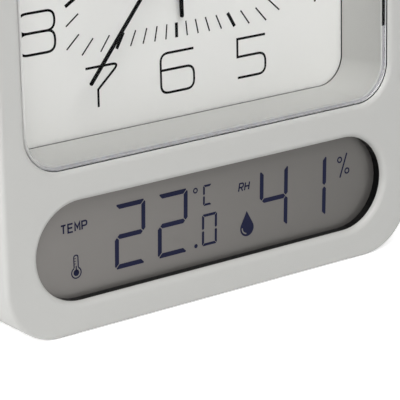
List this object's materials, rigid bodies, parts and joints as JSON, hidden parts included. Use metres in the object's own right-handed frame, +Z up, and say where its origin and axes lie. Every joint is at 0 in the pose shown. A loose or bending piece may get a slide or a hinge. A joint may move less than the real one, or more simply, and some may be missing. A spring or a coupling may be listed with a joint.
{
  "type": "bedside alarm clock",
  "caption": "Bedside quartz alarm clock: rounded upright case with a square analogue dial under a flat clear lens and a pill-shaped digital temperature and humidity display below it",
  "frame": {"origin": "on the table, under the middle of the overall box", "axes": "X to the viewer's right, Y from the dial to the back, Z up"},
  "size_m": [0.094, 0.0396, 0.1183],
  "materials": {
    "case_plastic": "light grey ABS, fine satin moulding texture",
    "clear_acrylic": "polished clear acrylic with a bevelled edge",
    "dial_card": "matt white printed card",
    "black_plastic": "black moulded plastic",
    "display_glass": "liquid crystal cell with a grey reflective film",
    "contact_rubber": "conductive elastomer",
    "circuit_board": "green solder mask on glass laminate",
    "gear_plastic": "natural moulded nylon",
    "spring_steel": "nickel-plated steel",
    "coil_winding": "enamelled copper wire on a bobbin",
    "brass": "turned brass",
    "black_paint": "stamped sheet with matt black paint",
    "cell_jacket": "plain printed jacket on a steel can"
  },
  "bodies": {
    "case": {"front_housing": "case_plastic", "rear_cover": "case_plastic", "dial_lens": "clear_acrylic", "dial_plate": "dial_card", "display_bezel": "black_plastic", "display_glass": "display_glass", "display_strip_upper": "contact_rubber", "display_strip_lower": "contact_rubber", "display_board": "circuit_board", "display_chip": "black_plastic", "climate_sensor": "gear_plastic", "unit_switch": "black_plastic", "snooze_switch": "black_plastic", "snooze_spring_left": "spring_steel", "snooze_spring_right": "spring_steel", "cell_lower": "cell_jacket", "cell_upper": "cell_jacket", "contact_plate_lower": "spring_steel", "contact_plate_upper": "spring_steel", "contact_spring_lower": "spring_steel", "contact_spring_upper": "spring_steel", "alarm_switch_body": "black_plastic", "buzzer": "black_plastic", "case_screw_1": "spring_steel", "case_screw_2": "spring_steel", "case_screw_3": "spring_steel", "case_screw_4": "spring_steel", "movement_base": "black_plastic", "movement_cover": "black_plastic", "stator": "spring_steel", "drive_coil": "coil_winding", "clock_board": "circuit_board", "quartz_crystal": "spring_steel"},
    "second": {"second_wheel": "gear_plastic", "second_hand": "black_paint"},
    "third": {"third_wheel": "gear_plastic"},
    "centre": {"centre_wheel": "gear_plastic"},
    "step": {"step_wheel": "gear_plastic"},
    "rotor": {"rotor": "gear_plastic"},
    "time_set": {"time_set_gear": "gear_plastic", "time_set_knob": "black_plastic"},
    "minute_work": {"minute_work": "gear_plastic"},
    "minute": {"cannon_pinion": "brass", "minute_hand": "black_paint"},
    "hour": {"hour_wheel": "gear_plastic", "hour_hand": "black_paint"},
    "alarm_set": {"alarm_set_gear": "gear_plastic", "alarm_set_knob": "black_plastic"},
    "alarm": {"alarm_wheel": "gear_plastic", "alarm_hand": "black_paint"},
    "snooze": {"snooze_bar": "case_plastic"},
    "unit": {"unit_button": "case_plastic"},
    "alarm_slider": {"alarm_switch": "black_plastic"},
    "door": {"battery_door": "case_plastic"}
  },
  "joints": [
    {"name": "second_spin", "type": "hinge", "parent": "case", "child": "second", "pos_m": [0, 0, 0.07085], "axis": [0, 1, 0], "continuous": true},
    {"name": "third_spin", "type": "hinge", "parent": "case", "child": "third", "pos_m": [0, 0, 0.0836], "axis": [0, 1, 0], "continuous": true},
    {"name": "centre_spin", "type": "hinge", "parent": "case", "child": "centre", "pos_m": [0, 0, 0.07085], "axis": [0, 1, 0], "continuous": true},
    {"name": "step_spin", "type": "hinge", "parent": "case", "child": "step", "pos_m": [0.00689, 0, 0.07664], "axis": [0, 1, 0], "continuous": true},
    {"name": "rotor_spin", "type": "hinge", "parent": "case", "child": "rotor", "pos_m": [0.0162, 0, 0.07828], "axis": [0, 1, 0], "continuous": true},
    {"name": "time_set_spin", "type": "hinge", "parent": "case", "child": "time_set", "pos_m": [-0.01065, 0, 0.06305], "axis": [0, 1, 0], "continuous": true},
    {"name": "minute_work_spin", "type": "hinge", "parent": "case", "child": "minute_work", "pos_m": [0, 0, 0.06125], "axis": [0, 1, 0], "continuous": true},
    {"name": "minute_spin", "type": "hinge", "parent": "case", "child": "minute", "pos_m": [0, 0, 0.07085], "axis": [0, 1, 0], "continuous": true},
    {"name": "hour_spin", "type": "hinge", "parent": "case", "child": "hour", "pos_m": [0, 0, 0.07085], "axis": [0, 1, 0], "continuous": true},
    {"name": "alarm_set_spin", "type": "hinge", "parent": "case", "child": "alarm_set", "pos_m": [0.01065, 0, 0.06305], "axis": [0, 1, 0], "continuous": true},
    {"name": "alarm_spin", "type": "hinge", "parent": "case", "child": "alarm", "pos_m": [0, 0, 0.07085], "axis": [0, 1, 0], "continuous": true},
    {"name": "snooze_press", "type": "slide", "parent": "case", "child": "snooze", "axis": [0, 0, -1], "range_m": [0, 0.0015], "stiffness_N_per_m": 400, "springref_m": -0.0008, "deforming": ["snooze_spring_left", "snooze_spring_right"]},
    {"name": "unit_press", "type": "slide", "parent": "case", "child": "unit", "axis": [0, -1, 0], "range_m": [0, 0.0006], "stiffness_N_per_m": 600, "springref_m": -0.0005},
    {"name": "alarm_switch_slide", "type": "slide", "parent": "case", "child": "alarm_slider", "axis": [0, 0, 1], "range_m": [0, 0.004]},
    {"name": "battery_door_hinge", "type": "hinge", "parent": "case", "child": "door", "pos_m": [0, 0.01275, 0.0038], "axis": [-1, 0, 0], "range_deg": [0, 70]}
  ],
  "couplings": [
    {"joint": "third_spin", "follows": "second_spin", "ratio": -0.13333},
    {"joint": "centre_spin", "follows": "second_spin", "ratio": 0.016667},
    {"joint": "step_spin", "follows": "second_spin", "ratio": -5},
    {"joint": "rotor_spin", "follows": "second_spin", "ratio": 30},
    {"joint": "minute_work_spin", "follows": "time_set_spin", "ratio": -0.5},
    {"joint": "minute_spin", "follows": "time_set_spin", "ratio": 1.5},
    {"joint": "hour_spin", "follows": "time_set_spin", "ratio": 0.125},
    {"joint": "alarm_spin", "follows": "alarm_set_spin", "ratio": -0.71429}
  ]
}
